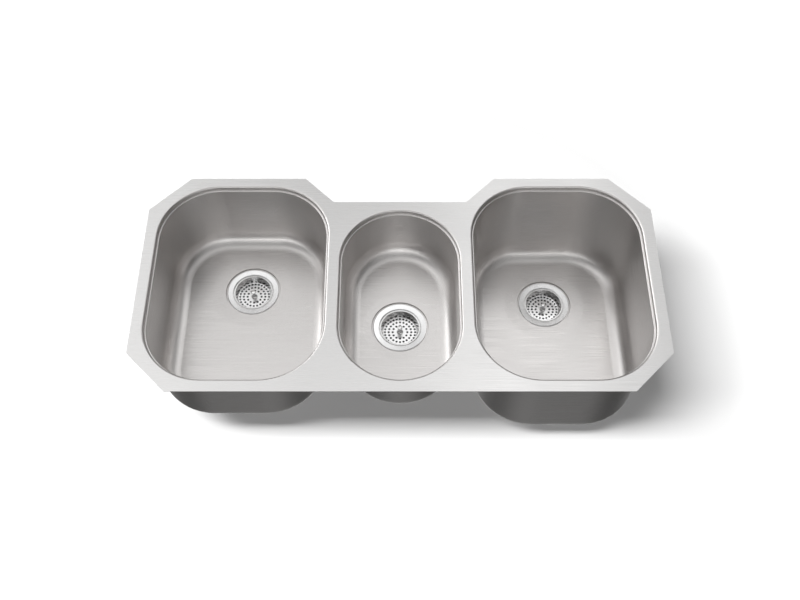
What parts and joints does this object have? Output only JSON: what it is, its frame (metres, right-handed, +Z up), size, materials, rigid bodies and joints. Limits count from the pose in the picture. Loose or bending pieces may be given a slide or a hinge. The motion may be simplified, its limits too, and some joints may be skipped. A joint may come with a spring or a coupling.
{
  "type": "triple bowl sink",
  "caption": "Undermount steel kitchen sink: wide, narrow and wide pressed bowls in one notched flat rim, each with a lift-out basket strainer drain.",
  "frame": {"origin": "centre of the rim's top face, in the plane that meets the underside of the worktop", "axes": "+X to the right and +Y to the back as the user stands at the sink, +Z up out of the bowls"},
  "size_m": [1.057, 0.5056, 0.3062],
  "materials": {
    "brushed_steel": "satin brushed, grain along each face",
    "strainer_steel": "fine satin, spun",
    "polished_steel": "polished",
    "zinc_plate": "dull zinc plate",
    "rubber": "moulded, matt",
    "fibre": "pressed fibre, matt"
  },
  "bodies": {
    "sink": {"rim_deck": "brushed_steel", "left_bowl": "brushed_steel", "middle_bowl": "brushed_steel", "right_bowl": "brushed_steel", "left_strainer_body": "strainer_steel", "middle_strainer_body": "strainer_steel", "right_strainer_body": "strainer_steel", "left_outlet_tail": "zinc_plate", "middle_outlet_tail": "zinc_plate", "right_outlet_tail": "zinc_plate", "left_rubber_gasket": "rubber", "middle_rubber_gasket": "rubber", "right_rubber_gasket": "rubber", "left_friction_ring": "fibre", "middle_friction_ring": "fibre", "right_friction_ring": "fibre", "left_lock_nut": "zinc_plate", "middle_lock_nut": "zinc_plate", "right_lock_nut": "zinc_plate"},
    "left_basket_unit": {"left_basket": "strainer_steel", "left_stopper_seal": "rubber"},
    "left_knob_unit": {"left_post": "polished_steel", "left_knob": "polished_steel", "left_post_nut": "polished_steel"},
    "middle_basket_unit": {"middle_basket": "strainer_steel", "middle_stopper_seal": "rubber"},
    "middle_knob_unit": {"middle_post": "polished_steel", "middle_knob": "polished_steel", "middle_post_nut": "polished_steel"},
    "right_basket_unit": {"right_basket": "strainer_steel", "right_stopper_seal": "rubber"},
    "right_knob_unit": {"right_post": "polished_steel", "right_knob": "polished_steel", "right_post_nut": "polished_steel"}
  },
  "joints": [
    {"name": "left_basket_lift", "type": "slide", "parent": "sink", "child": "left_basket_unit", "axis": [0, 0, 1], "range_m": [0, 0.06]},
    {"name": "left_knob_turn", "type": "hinge", "parent": "left_basket_unit", "child": "left_knob_unit", "pos_m": [-0.3267, 0.085, -0.2127], "axis": [0, 0, 1], "continuous": true},
    {"name": "middle_basket_lift", "type": "slide", "parent": "sink", "child": "middle_basket_unit", "axis": [0, 0, 1], "range_m": [0, 0.06]},
    {"name": "middle_knob_turn", "type": "hinge", "parent": "middle_basket_unit", "child": "middle_knob_unit", "pos_m": [0, -0.033, -0.1647], "axis": [0, 0, 1], "continuous": true},
    {"name": "right_basket_lift", "type": "slide", "parent": "sink", "child": "right_basket_unit", "axis": [0, 0, 1], "range_m": [0, 0.06]},
    {"name": "right_knob_turn", "type": "hinge", "parent": "right_basket_unit", "child": "right_knob_unit", "pos_m": [0.3267, 0.085, -0.2682], "axis": [0, 0, 1], "continuous": true}
  ]
}
